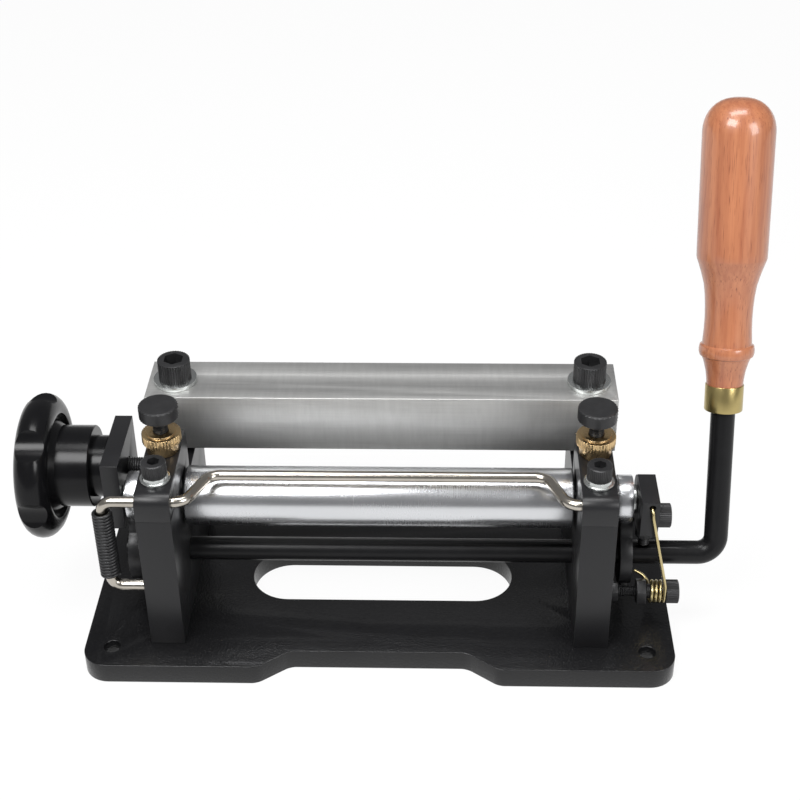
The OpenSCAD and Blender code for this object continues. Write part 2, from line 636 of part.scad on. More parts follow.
// The lock plate sits on the other journal; its slot passes the stud
plate_x1 = -plate_in_x;
module lock_plate() color("#1c1c1e") difference() {
    translate([plate_x1 - lock_plate_t, roller_y - 8, roller_z - 17.5])
        cube([lock_plate_t, lock_plate_d, lock_plate_h]);
    rod_x(journal_d / 2 + fit_gap, -200, 0, roller_y, roller_z);
    for (dz = [-roller_lift - 0.2, 0.2])
        rod_x(stud_d / 2 + body_gap, -200, 0, stud_y, stud_z + dz);
    translate([plate_x1 - lock_plate_t - 1, stud_y - stud_d / 2 - body_gap,
               stud_z - roller_lift - 0.2])
        cube([lock_plate_t + 2, stud_d + 2 * body_gap, roller_lift + 0.4]);
}
knob_x = plate_x1 - lock_plate_t - 0.4;
knob_bore = 24;
module lock_stud() color("#3a3a3c")
    rod_x(stud_d / 2, knob_x - knob_bore + 1, -post_out_x + 12, stud_y, stud_z);
// The hand knob: a collar, a hub and a dished wheel with finger scallops
knob_len = 45.5;
knob_hub_r = 22.5;
knob_rim_r = knob_rim_t / 2;
scallops = 6;
module hand_knob() color("#141416") difference() {
    along_x(knob_x - knob_len, stud_y, stud_z) rotate_extrude($fn = 96) polygon(concat(
        [[0, 4], [20, 4], [28, 0.8]],
        [for (a = [-75 : 15 : 90]) [knob_d / 2 - knob_rim_r + knob_rim_r * cos(a),
                                    knob_rim_r + knob_rim_r * sin(a)]],
        [[knob_d / 2 - knob_rim_r - 2, knob_rim_t - 0.4], [28.5, knob_rim_t - 3.4],
         [26, knob_rim_t - 3], [knob_hub_r, knob_rim_t + 1.5],
         [knob_hub_r, knob_len - 8.6], [knob_hub_r - 0.6, knob_len - 8], [17, knob_len - 8],
         [17, knob_len - 0.5], [16.5, knob_len], [0, knob_len]]));
    for (k = [0 : scallops - 1]) along_x(knob_x - knob_len - 1, stud_y, stud_z)
        rotate(90 + 8.6 + k * 360 / scallops) translate([knob_d / 2 + 9, 0, 0])
            cylinder(r = 13.5, h = knob_rim_t + 1.5);
    rod_x(stud_d / 2 + fit_gap, knob_x - knob_bore, knob_x + 1, stud_y, stud_z);
}

base_plate();
left_post();
right_post();
left_cap();
right_cap();
post_screws();
cap_screws();
cap_washers();
bar();
blade();
bar_bolts();
bar_washers();
roller();
roller_axle();
left_bearing();
right_bearing();
journal_washers();
lever_rod();
lever_ferrule();
lever_grip();
left_cam();
right_cam();
cam_set_screws();
striker_screw();
left_thumb_shank();
right_thumb_shank();
left_thumb_head();
right_thumb_head();
left_lock_nut();
right_lock_nut();
guide_rod();
guide_spring();
guide_spring_pin();
lock_plate();
lock_stud();
hand_knob();
hold_down_block();
block_screw();
return_spring();
spring_screw();
spring_nuts();
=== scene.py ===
import json
from math import atan2, cos, pi, radians, sin, sqrt

import bpy
from bpy.props import FloatProperty, FloatVectorProperty, IntProperty, PointerProperty
from mathutils import Matrix, Vector


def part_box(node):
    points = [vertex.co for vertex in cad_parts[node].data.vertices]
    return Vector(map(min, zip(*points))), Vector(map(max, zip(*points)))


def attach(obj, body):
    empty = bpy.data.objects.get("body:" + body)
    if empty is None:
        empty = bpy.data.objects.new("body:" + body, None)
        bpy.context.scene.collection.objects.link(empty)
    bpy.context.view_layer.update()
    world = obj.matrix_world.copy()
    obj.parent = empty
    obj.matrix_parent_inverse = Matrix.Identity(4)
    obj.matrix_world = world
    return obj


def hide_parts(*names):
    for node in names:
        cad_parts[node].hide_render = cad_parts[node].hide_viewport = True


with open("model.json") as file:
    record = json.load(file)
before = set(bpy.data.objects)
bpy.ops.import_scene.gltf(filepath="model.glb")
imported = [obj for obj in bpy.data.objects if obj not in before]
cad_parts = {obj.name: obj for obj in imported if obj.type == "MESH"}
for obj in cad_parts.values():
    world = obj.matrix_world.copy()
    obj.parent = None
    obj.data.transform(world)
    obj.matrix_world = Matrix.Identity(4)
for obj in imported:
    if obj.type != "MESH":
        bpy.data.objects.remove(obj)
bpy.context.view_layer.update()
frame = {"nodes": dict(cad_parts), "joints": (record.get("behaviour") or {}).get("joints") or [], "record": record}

bl_info = {
    "name": "Leather splitting machine",
    "version": (1, 0, 0),
    "blender": (4, 5, 0),
    "location": "View3D > Sidebar > Splitter",
    "description": "Dresses the packed model of a bench leather splitter and lights it",
    "category": "Object",
}

MM = 0.001
FLOOR_GLOW = 0.93   # share of plain white in the floor that the camera and the metals see
NODES = frame["nodes"]
BODY_OF = {node: body for body, members in frame["record"]["behaviour"]["bodies"].items()
           for node in members}
SLOT_OF = {part["node"]: part["material_slot"] for part in frame["record"]["subparts"]}
JOINTS = {joint["name"]: joint for joint in frame["joints"]}


# --- Places worked out from the frame ---------------------------------------------------------

def low(node):
    return Vector(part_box(node)[0])


def high(node):
    return Vector(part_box(node)[1])


def middle(node):
    return (low(node) + high(node)) / 2


LEVER_AXIS = Vector(JOINTS["lever_turn"]["pos_m"])
ROLLER_AXIS = Vector(JOINTS["roller_spin"]["pos_m"])
GUIDE_AXIS = Vector(JOINTS["guide_turn"]["pos_m"])


# --- Sizes and colours that a user would change -----------------------------------------------

def colour(name, description, value):
    return FloatVectorProperty(name=name, description=description, default=value, size=3,
                               subtype="COLOR", min=0.0, max=1.0)


def length(name, description, value):
    return FloatProperty(name=name, description=description, default=value, unit="LENGTH",
                         precision=5)


class SPLITTER_PG_sizes(bpy.types.PropertyGroup):
    """Sizes of the pieces that are modelled here"""
    thread_pitch: length("Thread pitch", "Pitch of the screws' visible threads", 1.25 * MM)
    thread_depth: length("Thread depth", "Depth of the screws' visible threads", 0.6 * MM)
    edge_break: length("Edge break", "Width of the broken edges on machined blocks", 0.45 * MM)
    paint_edge: length("Paint edge", "Width of the base plate's rounded edges", 0.9 * MM)
    recess_round: length("Recess rounding", "Rounding of the recess's corners", 3.2 * MM)
    guide_curls: IntProperty(name="Curls", description="Curls of the guide spring", default=21)
    lever_lean: FloatProperty(name="Lean", description="Lean of the lever's arm",
                              default=radians(18.4), subtype="ANGLE")


class SPLITTER_PG_colours(bpy.types.PropertyGroup):
    """Colours of the finishes"""
    hammered: colour("Hammered paint", "Base plate's paint", (0.006, 0.006, 0.0065))
    satin: colour("Satin paint", "Posts, caps and blocks", (0.010, 0.010, 0.011))
    gloss: colour("Gloss paint", "Lever rod", (0.006, 0.006, 0.0065))
    oxide: colour("Black oxide", "Screws and cams", (0.020, 0.020, 0.021))
    bakelite: colour("Knob", "Hand knob", (0.004, 0.004, 0.0045))
    ground: colour("Ground steel", "Bar", (0.56, 0.56, 0.55))
    polished: colour("Polished steel", "Roller and bearings", (0.74, 0.75, 0.77))
    nickel: colour("Drawn rod", "Guide rod", (0.50, 0.465, 0.41))
    zinc: colour("Zinc", "Washers", (0.62, 0.64, 0.63))
    brass: colour("Brass", "Lock nuts", (0.68, 0.49, 0.26))
    ferrule: colour("Ferrule", "Lever's ferrule", (0.50, 0.40, 0.17))
    yellow_zinc: colour("Yellow zinc", "Return spring", (0.60, 0.50, 0.26))
    wood_light: colour("Light wood", "Pale grain of the grip", (0.43, 0.162, 0.074))
    wood_dark: colour("Dark wood", "Dark grain of the grip", (0.25, 0.072, 0.032))
    floor: colour("Floor", "Floor of the stage", (0.90, 0.90, 0.90))


def sizes():
    return bpy.context.scene.splitter_sizes


def colours():
    return bpy.context.scene.splitter_colours


# --- Shader maths -----------------------------------------------------------------------------

# Places of the sockets of a Mix node that is set to colours
MIX_FACTOR, MIX_A, MIX_B, MIX_RESULT = 0, 6, 7, 2


class Value:
    """A socket whose arithmetic adds Math nodes"""

    def __init__(self, shader, socket):
        self.shader = shader
        self.socket = socket

    def _math(self, operation, a, b):
        return self.shader.node("ShaderNodeMath", {"operation": operation}, {0: a, 1: b})

    def __add__(self, other):
        return self._math("ADD", self, other)

    __radd__ = __add__

    def __mul__(self, other):
        return self._math("MULTIPLY", self, other)

    __rmul__ = __mul__

    def __sub__(self, other):
        return self._math("SUBTRACT", self, other)

    def __rsub__(self, other):
        return self._math("SUBTRACT", other, self)


class Shader:
    """One material's node tree"""

    def __init__(self, name):
        self.material = bpy.data.materials.new(name)
        self.material.use_nodes = True
        self.tree = self.material.node_tree
        self.surface = self.tree.nodes["Principled BSDF"]
        self.place = self.node("ShaderNodeTexCoord", {}, {}, "Object")

    def node(self, kind, settings, inputs, output=0):
        """A new node of a kind: its settings first, then its sockets' values or links"""
        node = self.tree.nodes.new(kind)
        for key, value in settings.items():
            if key == "stops":
                ramp = node.color_ramp
                while len(ramp.elements) < len(value):
                    ramp.elements.new(0.5)
                for element, (position, tint) in zip(ramp.elements, value):
                    element.position = position
                    element.color = (*tint, 1.0)
            else:
                setattr(node, key, value)
        for key, value in inputs.items():
            if isinstance(value, Value):
                self.tree.links.new(value.socket, node.inputs[key])
            else:
                node.inputs[key].default_value = value
        return Value(self, node.outputs[output])

    def scaled(self, scale, turn=None):
        """Object coordinates, turned if asked and then stretched"""
        place = self.place
        if turn is not None:
            place = self.node("ShaderNodeMapping", {}, {"Vector": place, "Rotation": turn})
        return self.node("ShaderNodeMapping", {}, {"Vector": place, "Scale": scale})

    def noise(self, vector, scale, detail=3.0, roughness=0.55, distortion=0.0):
        return self.node("ShaderNodeTexNoise", {},
                         {"Vector": vector, "Scale": scale, "Detail": detail,
                          "Roughness": roughness, "Distortion": distortion}, "Fac")

    def ramp(self, value, stops):
        return self.node("ShaderNodeValToRGB", {"stops": stops}, {"Fac": value}, "Color")

    def mix(self, mask, a, b):
        """A colour between a and b, each a tint or a Value"""
        a, b = (tint if isinstance(tint, Value) else (*tint, 1.0) for tint in (a, b))
        return self.node("ShaderNodeMix", {"data_type": "RGBA"},
                         {MIX_FACTOR: mask, MIX_A: a, MIX_B: b}, MIX_RESULT)

    def bump(self, height, distance, strength):
        return self.node("ShaderNodeBump", {}, {"Height": height, "Distance": distance,
                                                 "Strength": strength}, "Normal")

    def set(self, **inputs):
        """Feeds the surface's sockets and hands back the material"""
        for key, value in inputs.items():
            socket = self.surface.inputs[key.replace("_", " ")]
            if isinstance(value, Value):
                self.tree.links.new(value.socket, socket)
            else:
                socket.default_value = (*value, 1.0) if isinstance(value, tuple) else value
        return self.material


def shade(tint, factor):
    """A colour made lighter or darker, within range"""
    return tuple(min(1.0, channel * factor) for channel in tint)


def hammered_paint():
    s = Shader("hammered_paint")
    tint = tuple(colours().hammered)
    pebble = s.noise(s.place, 950.0, 1.0, 0.35)
    fine = s.noise(s.place, 1500.0, 2.0)
    cloud = s.noise(s.place, 30.0)
    return s.set(Base_Color=s.mix(cloud, shade(tint, 0.8), shade(tint, 1.5)),
                 Roughness=0.18 + 0.14 * fine, Coat_Weight=0.12, Specular_IOR_Level=0.32,
                 Normal=s.bump(pebble + 0.1 * fine, 0.32 * MM, 0.7))


def satin_paint():
    s = Shader("satin_paint")
    tint = tuple(colours().satin)
    fine = s.noise(s.place, 900.0, 3.0)
    cloud = s.noise(s.place, 60.0)
    return s.set(Base_Color=s.mix(cloud, shade(tint, 0.85), shade(tint, 1.25)),
                 Roughness=0.30 + 0.12 * cloud, Specular_IOR_Level=0.36,
                 Normal=s.bump(fine, 0.05 * MM, 0.6))


def gloss_paint():
    s = Shader("gloss_paint")
    tint = tuple(colours().gloss)
    ripple = s.noise(s.place, 120.0, 2.0)
    return s.set(Base_Color=s.mix(ripple, shade(tint, 0.9), shade(tint, 1.4)),
                 Roughness=0.27 + 0.14 * ripple, Specular_IOR_Level=0.20,
                 Normal=s.bump(ripple, 0.12 * MM, 0.3))


def black_oxide():
    s = Shader("black_oxide")
    tint = tuple(colours().oxide)
    grit = s.noise(s.place, 1400.0, 3.0)
    cloud = s.noise(s.place, 180.0)
    return s.set(Base_Color=s.mix(cloud, shade(tint, 0.7), shade(tint, 1.7)), Metallic=0.35,
                 Roughness=0.30 + 0.16 * grit, Normal=s.bump(grit, 0.04 * MM, 0.5))


def bakelite():
    s = Shader("bakelite")
    tint = tuple(colours().bakelite)
    flow = s.noise(s.place, 45.0, 3.0, 0.5, 1.0)
    return s.set(Base_Color=s.mix(flow, shade(tint, 0.8), shade(tint, 1.5)),
                 Roughness=0.15 + 0.12 * flow, Specular_IOR_Level=0.20,
                 Normal=s.bump(flow, 0.08 * MM, 0.25))


def ground_steel(name, tint, sharpness):
    s = Shader(name)
    lines = s.noise(s.scaled((14.0, 1500.0, 1500.0)), 1.0, 4.0, 0.75)
    across = s.noise(s.scaled((420.0, 60.0, 60.0)), 1.0, 3.0, 0.6)
    cloud = s.noise(s.scaled((22.0, 50.0, 50.0)), 1.0, 3.0)
    tone = s.mix(lines, shade(tint, 0.66), shade(tint, 1.34))
    marks = s.mix(across, shade(tint, 0.8), shade(tint, 1.2))
    return s.set(Base_Color=s.mix(cloud, tone, marks), Metallic=1.0,
                 Roughness=sharpness + 0.16 * lines + 0.06 * cloud,
                 Normal=s.bump(lines, 0.03 * MM, 0.5))


def polished_steel():
    s = Shader("polished_steel")
    tint = tuple(colours().polished)
    turning = s.noise(s.scaled((2400.0, 12.0, 12.0)), 1.0, 3.0, 0.6)
    smear = s.noise(s.scaled((14.0, 90.0, 90.0)), 1.0, 3.0)
    return s.set(Base_Color=s.mix(smear, shade(tint, 0.86), shade(tint, 1.05)), Metallic=1.0,
                 Roughness=0.17 + 0.14 * smear + 0.05 * turning,
                 Normal=s.bump(turning, 0.012 * MM, 0.35))


def drawn_rod():
    s = Shader("drawn_rod")
    tint = tuple(colours().nickel)
    scratch = s.noise(s.scaled((20.0, 900.0, 900.0)), 1.0, 3.0)
    tarnish = s.noise(s.place, 70.0)
    return s.set(Base_Color=s.mix(tarnish, shade(tint, 0.78), shade(tint, 1.15)), Metallic=1.0,
                 Roughness=0.16 + 0.12 * scratch, Normal=s.bump(scratch, 0.02 * MM, 0.4))


def plated(name, tint, roughness):
    s = Shader(name)
    grain = s.noise(s.place, 700.0, 3.0)
    cloud = s.noise(s.place, 110.0, 3.0)
    return s.set(Base_Color=s.mix(cloud, shade(tint, 0.75), shade(tint, 1.2)), Metallic=1.0,
                 Roughness=roughness + 0.16 * cloud, Normal=s.bump(grain, 0.03 * MM, 0.4))


def varnished_wood():
    """Straight grain along the lever's arm, with fine pores and a varnish"""
    s = Shader("varnished_wood")
    light = tuple(colours().wood_light)
    dark = tuple(colours().wood_dark)
    turn = (sizes().lever_lean, 0.0, 0.0)
    band = s.noise(s.scaled((90.0, 90.0, 7.0), turn), 1.0, 4.0, 0.6, 0.6)
    streak = s.noise(s.scaled((420.0, 420.0, 16.0), turn), 1.0, 3.0, 0.6)
    pores = s.noise(s.scaled((1700.0, 1700.0, 75.0), turn), 1.0, 2.0)
    broad = s.ramp(band, [(0.32, dark), (0.5, shade(light, 0.86)), (0.68, light)])
    fine = s.ramp(streak, [(0.35, shade(dark, 1.15)), (0.62, light)])
    tone = s.mix(0.45, broad, fine)
    specks = s.ramp(pores, [(0.27, (0.0, 0.0, 0.0)), (0.42, (1.0, 1.0, 1.0))])
    return s.set(Base_Color=s.mix(specks, shade(dark, 0.75), tone),
                 Roughness=0.30 + 0.12 * streak, Coat_Weight=0.55, Coat_Roughness=0.12,
                 Normal=s.bump(pores + streak, 0.05 * MM, 0.3))


MATERIALS = {}


def make_materials():
    c = colours()
    MATERIALS.update({
        "hammered_black": hammered_paint(),
        "satin_black": satin_paint(),
        "gloss_black": gloss_paint(),
        "black_oxide": black_oxide(),
        "zinc": plated("zinc_plate", tuple(c.zinc), 0.18),
        "ground_steel": ground_steel("ground_steel", tuple(c.ground), 0.40),
        "blade_steel": ground_steel("blade_steel", shade(tuple(c.ground), 1.25), 0.18),
        "polished_steel": polished_steel(),
        "nickel_rod": drawn_rod(),
        "brass": plated("turned_brass", tuple(c.brass), 0.20),
        "ferrule": plated("ferrule_brass", tuple(c.ferrule), 0.24),
        "wood": varnished_wood(),
        "bakelite": bakelite(),
        "spring_black": black_oxide(),
        "spring_zinc": plated("yellow_zinc", tuple(c.yellow_zinc), 0.2),
    })


# --- Modelling helpers ------------------------------------------------------------------------

def deselect():
    if bpy.context.object and bpy.context.object.mode != "OBJECT":
        bpy.ops.object.mode_set(mode="OBJECT")
    bpy.ops.object.select_all(action="DESELECT")


def take(piece):
    deselect()
    piece.select_set(True)
    bpy.context.view_layer.objects.active = piece


def apply_modifiers(piece):
    take(piece)
    for modifier in list(piece.modifiers):
        bpy.ops.object.modifier_apply(modifier=modifier.name)


def edit(piece, mode="VERT"):
    take(piece)
    bpy.ops.object.mode_set(mode="EDIT")
    bpy.ops.mesh.select_mode(type=mode)


def leave():
    bpy.ops.object.mode_set(mode="OBJECT")


def close_up(piece, gap):
    """Merges doubles and turns the faces outwards"""
    edit(piece)
    bpy.ops.mesh.select_all(action="SELECT")
    bpy.ops.mesh.remove_doubles(threshold=gap)
    bpy.ops.mesh.normals_make_consistent(inside=False)
    leave()


def place(piece, position=(0, 0, 0), turn=None):
    """Turns and moves a piece that was made at the origin, and applies both"""
    if turn is not None:
        piece.matrix_world = Matrix.Translation(position) @ turn.to_4x4()
    else:
        piece.location = position
    take(piece)
    bpy.ops.object.transform_apply(location=True, rotation=True, scale=True)


def smooth(piece, angle):
    take(piece)
    bpy.ops.object.shade_smooth_by_angle(angle=radians(angle))


def copy_of(piece):
    """A copy of a piece, with a mesh of its own"""
    other = piece.copy()
    other.data = piece.data.copy()
    piece.users_collection[0].objects.link(other)
    return other


def finish_piece(piece, node):
    """Names a piece, gives it its finish, and lets it ride with its node's body"""
    slot = SLOT_OF[node]
    name = node + "_finish"
    piece.name = name
    piece.data.name = name
    piece.data.materials.clear()
    piece.data.materials.append(MATERIALS[slot])
    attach(piece, BODY_OF[node])
    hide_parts(node)
    return piece


def join(pieces):
    """Joins meshes into the first of them"""
    deselect()
    for piece in pieces:
        piece.select_set(True)
    bpy.context.view_layer.objects.active = pieces[0]
    if len(pieces) > 1:
        bpy.ops.object.join()
    return pieces[0]


# The recess's corners lie in front of this Y and nearer the middle than this X, and its upright
# edges are longer than this
RECESS_Y = -0.05
RECESS_X = 0.08
UPRIGHT = 5 * MM


def round_recess(piece, width):
    """Rounds the upright edges at the ends of the base plate's front recess"""
    edit(piece, "EDGE")
    bpy.ops.mesh.select_all(action="DESELECT")
    leave()
    points = piece.data.vertices
    for corner in piece.data.edges:
        a, b = (points[index].co for index in corner.vertices)
        upright = (a.xy - b.xy).length < 0.01 * MM and abs(a.z - b.z) > UPRIGHT
        corner.select = upright and a.y < RECESS_Y and abs(a.x) < RECESS_X
    edit(piece, "EDGE")
    bpy.ops.mesh.bevel(offset=width, segments=6)
    leave()


def broken_edges(node, width, segments=2, angle=32.0, recess=0.0):
    """A copy of a CAD node with its edges broken, as a machinist or paint leaves them"""
    deselect()
    bpy.ops.mesh.primitive_cube_add(size=1.0)
    piece = bpy.context.object
    blank = piece.data
    piece.data = NODES[node].data.copy()
    bpy.data.meshes.remove(blank)
    edit(piece)
    bpy.ops.mesh.select_all(action="SELECT")
    bpy.ops.mesh.remove_doubles(threshold=0.004 * MM)
    bpy.ops.mesh.dissolve_limited(angle_limit=radians(0.6))
    leave()
    if recess > 0.0:
        round_recess(piece, recess)
    if width > 0.0:
        bevel = piece.modifiers.new("edges", "BEVEL")
        bevel.width = width
        bevel.segments = segments
        bevel.limit_method = "ANGLE"
        bevel.angle_limit = radians(angle)
        apply_modifiers(piece)
    smooth(piece, angle)
    return finish_piece(piece, node)


# How far a shank reaches into its head, and the angles above which edges stay sharp
INTO_HEAD = 0.05 * MM
SCREW_SMOOTH = 30.0
THREAD_SMOOTH = 25.0
KNURL_SMOOTH = 12.0


def frame_to(axis):
    """A turn that takes +Z to the axis"""
    return Vector((0.0, 0.0, 1.0)).rotation_difference(Vector(axis)).to_matrix()


def turned(profile, steps=64):
    """A lathe piece about Z at the origin, from (radius, height) points, extruded and spun"""
    deselect()
    bpy.ops.mesh.primitive_plane_add(size=1 * MM)
    piece = bpy.context.object
    edit(piece)
    bpy.ops.mesh.select_all(action="SELECT")
    bpy.ops.mesh.merge(type="CENTER")
    here = Vector((0.0, 0.0, 0.0))
    for count, (radius, height) in enumerate(profile):
        there = Vector((radius, 0.0, height))
        if count == 0:
            bpy.ops.transform.translate(value=there - here)
        else:
            bpy.ops.mesh.extrude_region_move(TRANSFORM_OT_translate={"value": there - here})
        here = there
    bpy.ops.mesh.select_all(action="SELECT")
    bpy.ops.mesh.spin(steps=steps, angle=2 * pi, center=(0, 0, 0), axis=(0, 0, 1))
    leave()
    close_up(piece, 0.002 * MM)
    return piece


def threaded(radius, start, end, pitch, depth, steps=40):
    """A threaded shank as a lathe piece: a crest and a root in every pitch"""
    count = max(1, int((end - start) / pitch))
    step = (end - start) / count
    profile = [(0.0, start), (radius - depth, start)]
    for turn in range(count):
        z = start + turn * step
        profile += [(radius, z + 0.35 * step), (radius, z + 0.6 * step),
                    (radius - depth, z + step)]
    return turned(profile + [(0.0, end)], steps)


# A socket head's knurl and chamfer: teeth, depth of the grooves as a share of the radius, and
# the chamfer's height and the share of the radius that it leaves
TEETH = 40
GROOVE_SHARE = 0.965
CHAMFER = 0.4 * MM
CHAMFER_SHARE = 0.9


def socket_head(diameter, height, key):
    """A knurled socket head that stands on z = 0 at the origin"""
    deselect()
    bpy.ops.mesh.primitive_cylinder_add(vertices=2 * TEETH, radius=diameter / 2, depth=height,
                                        location=(0, 0, height / 2))
    piece = bpy.context.object
    bpy.ops.object.transform_apply(location=True, rotation=True, scale=True)
    edit(piece)
    bpy.ops.mesh.select_all(action="DESELECT")
    leave()
    for vertex in piece.data.vertices:
        step = round(atan2(vertex.co.y, vertex.co.x) / (pi / TEETH))
        vertex.select = step % 2 == 1
    edit(piece)
    bpy.ops.transform.resize(value=(GROOVE_SHARE, GROOVE_SHARE, 1.0),
                             center_override=(0, 0, 0))
    bpy.ops.mesh.select_all(action="DESELECT")
    leave()
    for face in piece.data.polygons:
        face.select = face.normal.z > 0.9
    edit(piece, "FACE")
    bpy.ops.mesh.inset(thickness=0.0)
    bpy.ops.transform.translate(value=(0, 0, CHAMFER))
    bpy.ops.transform.resize(value=(CHAMFER_SHARE, CHAMFER_SHARE, 1.0),
                             center_override=(0, 0, height))
    bpy.ops.mesh.select_all(action="SELECT")
    bpy.ops.transform.resize(value=(1.0, 1.0, height / (height + CHAMFER)),
                             center_override=(0, 0, 0))
    leave()
    bpy.ops.mesh.primitive_cylinder_add(vertices=6, radius=key / 2 / cos(pi / 6), depth=height,
                                        location=(0, 0, height * 0.95))
    cutter = bpy.context.object
    cut = piece.modifiers.new("socket", "BOOLEAN")
    cut.operation = "DIFFERENCE"
    cut.object = cutter
    apply_modifiers(piece)
    bpy.data.objects.remove(cutter)
    return piece


# A thumb head's diamond knurl: steps round the rim, rows up it, its distance from the rim's
# edges, and the share of the radius that its hollows keep
KNURL_STEPS = 64
KNURL_ROWS = 6
KNURL_EDGE = 0.6 * MM
KNURL_SHARE = 0.96


def knurled_head(radius, height):
    """A thumb head: a lathe piece with a diamond knurl pressed into its rim

    Two short cones break each of the rim's edges, and the top is dished a little.
    """
    pitch = (height - 2 * KNURL_EDGE) / KNURL_ROWS
    profile = [(0.0, 0.0), (radius - 1.2 * MM, 0.0), (radius - 0.5 * MM, 0.25 * MM)]
    profile += [(radius, KNURL_EDGE + row * pitch) for row in range(KNURL_ROWS + 1)]
    profile += [(radius - 0.5 * MM, height - 0.25 * MM), (radius - 1.2 * MM, height),
                (radius - 2.2 * MM, height - 0.15 * MM), (0.0, height - 0.15 * MM)]
    piece = turned(profile, KNURL_STEPS)
    edit(piece)
    bpy.ops.mesh.select_all(action="DESELECT")
    leave()
    for vertex in piece.data.vertices:
        x, y, z = vertex.co
        row = round((z - KNURL_EDGE) / pitch)
        step = round(atan2(y, x) / (2 * pi / KNURL_STEPS))
        vertex.select = sqrt(x * x + y * y) > radius * 0.999 and (row + step) % 2 == 1
    edit(piece)
    bpy.ops.transform.resize(value=(KNURL_SHARE, KNURL_SHARE, 1.0),
                             center_override=(0, 0, 0))
    leave()
    return piece


def screws(node, places, axis, head, shank):
    """Socket screws of one node: head = (diameter, height, key), shank = (diameter, length)"""
    first = join([socket_head(*head),
                  threaded(shank[0] / 2, -shank[1], INTO_HEAD, sizes().thread_pitch,
                           sizes().thread_depth, 32)])
    made = [first] + [copy_of(first) for _ in places[1:]]
    for screw, position in zip(made, places):
        place(screw, position, frame_to(axis))
    piece = join(made)
    smooth(piece, SCREW_SMOOTH)
    return finish_piece(piece, node)


# --- Operators: one for each group of pieces --------------------------------------------------

UP = (0, 0, 1)
RIGHT = (1, 0, 0)


class SPLITTER_OT_materials(bpy.types.Operator):
    """Make every finish"""
    bl_idname = "splitter.materials"
    bl_label = "Finishes"

    def execute(self, context):
        make_materials()
        for node, piece in NODES.items():
            piece.data.materials.clear()
            piece.data.materials.append(MATERIALS[SLOT_OF[node]])
        return {"FINISHED"}


class SPLITTER_OT_base(bpy.types.Operator):
    """Finish the base plate, the posts, the caps and the two blocks on the journals"""
    bl_idname = "splitter.base"
    bl_label = "Base and posts"

    def execute(self, context):
        broken_edges("base_plate", sizes().paint_edge, segments=3,
                     recess=sizes().recess_round)
        for side in ("left", "right"):
            broken_edges(side + "_post", sizes().edge_break)
            broken_edges(side + "_cap", sizes().edge_break)
        broken_edges("lock_plate", sizes().edge_break)
        broken_edges("hold_down_block", sizes().edge_break)
        return {"FINISHED"}


class SPLITTER_OT_bar(bpy.types.Operator):
    """Finish the bar and the blade"""
    bl_idname = "splitter.bar"
    bl_label = "Bar and blade"

    def execute(self, context):
        broken_edges("bar", 0.35 * MM)
        broken_edges("blade", 0.08 * MM, segments=1, angle=40.0)
        return {"FINISHED"}


class SPLITTER_OT_roller(bpy.types.Operator):
    """Finish the roller, its axle, the bearings and the cams"""
    bl_idname = "splitter.roller"
    bl_label = "Roller and cams"

    def execute(self, context):
        broken_edges("roller", 0.2 * MM)
        broken_edges("roller_axle", 0.3 * MM)
        for side in ("left", "right"):
            broken_edges(side + "_bearing", 0.3 * MM)
            broken_edges(side + "_cam", 0.3 * MM, angle=40.0)
        broken_edges("journal_washers", 0.2 * MM)
        broken_edges("cam_set_screws", 0.12 * MM)
        return {"FINISHED"}


# Socket heads as (diameter, height, key), and the shanks under them as (diameter, length)
CAP_HEAD, CAP_SHANK = (13 * MM, 8 * MM, 6 * MM), (8 * MM, 6 * MM)
BAR_HEAD, BAR_SHANK = (18 * MM, 12 * MM, 10 * MM), (12 * MM, 8 * MM)
SIDE_HEAD, SIDE_SHANK = (13 * MM, 7 * MM, 6 * MM), (8 * MM, 6 * MM)
STRIKER_HEAD, STRIKER_SHANK = (10 * MM, 6 * MM, 5 * MM), (6 * MM, 6.2 * MM)
# The spring screw's shoulder, its radius, and its thread's radius
SHOULDER = 10.4 * MM
SHOULDER_R = 4 * MM
SPRING_THREAD_R = 3 * MM


class SPLITTER_OT_screws(bpy.types.Operator):
    """Model the socket screws, and finish their washers and nuts"""
    bl_idname = "splitter.screws"
    bl_label = "Screws"

    def execute(self, context):
        for node, head, shank in (("cap_screws", CAP_HEAD, CAP_SHANK),
                                  ("bar_bolts", BAR_HEAD, BAR_SHANK)):
            seat = high(node).z - head[1]
            x = high(node).x - head[0] / 2
            y = middle(node).y
            screws(node, [(-x, y, seat), (x, y, seat)], UP, head, shank)
        block = middle("block_screw")
        screws("block_screw", [(high("block_screw").x - SIDE_HEAD[1], block.y, block.z)],
               RIGHT, SIDE_HEAD, SIDE_SHANK)
        striker = middle("striker_screw")
        screws("striker_screw",
               [(striker.x, striker.y, high("striker_screw").z - STRIKER_HEAD[1])], UP,
               STRIKER_HEAD, STRIKER_SHANK)
        self.spring_screw()
        broken_edges("post_screws", 0.2 * MM)
        for node in ("cap_washers", "bar_washers", "spring_nuts"):
            broken_edges(node, 0.25 * MM)
        return {"FINISHED"}

    def spring_screw(self):
        """The screw that carries the return spring: a head, a shoulder and a thinner thread"""
        head_x = high("spring_screw").x - SIDE_HEAD[1]
        tip = head_x - low("spring_screw").x
        carrier = join([socket_head(*SIDE_HEAD),
                        turned([(0.0, -SHOULDER), (SHOULDER_R, -SHOULDER),
                                (SHOULDER_R, INTO_HEAD), (0.0, INTO_HEAD)]),
                        threaded(SPRING_THREAD_R, -tip, -SHOULDER + INTO_HEAD, 1.0 * MM,
                                 0.5 * MM)])
        place(carrier, (head_x, middle("spring_screw").y, middle("spring_screw").z),
              frame_to(RIGHT))
        smooth(carrier, SCREW_SMOOTH)
        finish_piece(carrier, "spring_screw")


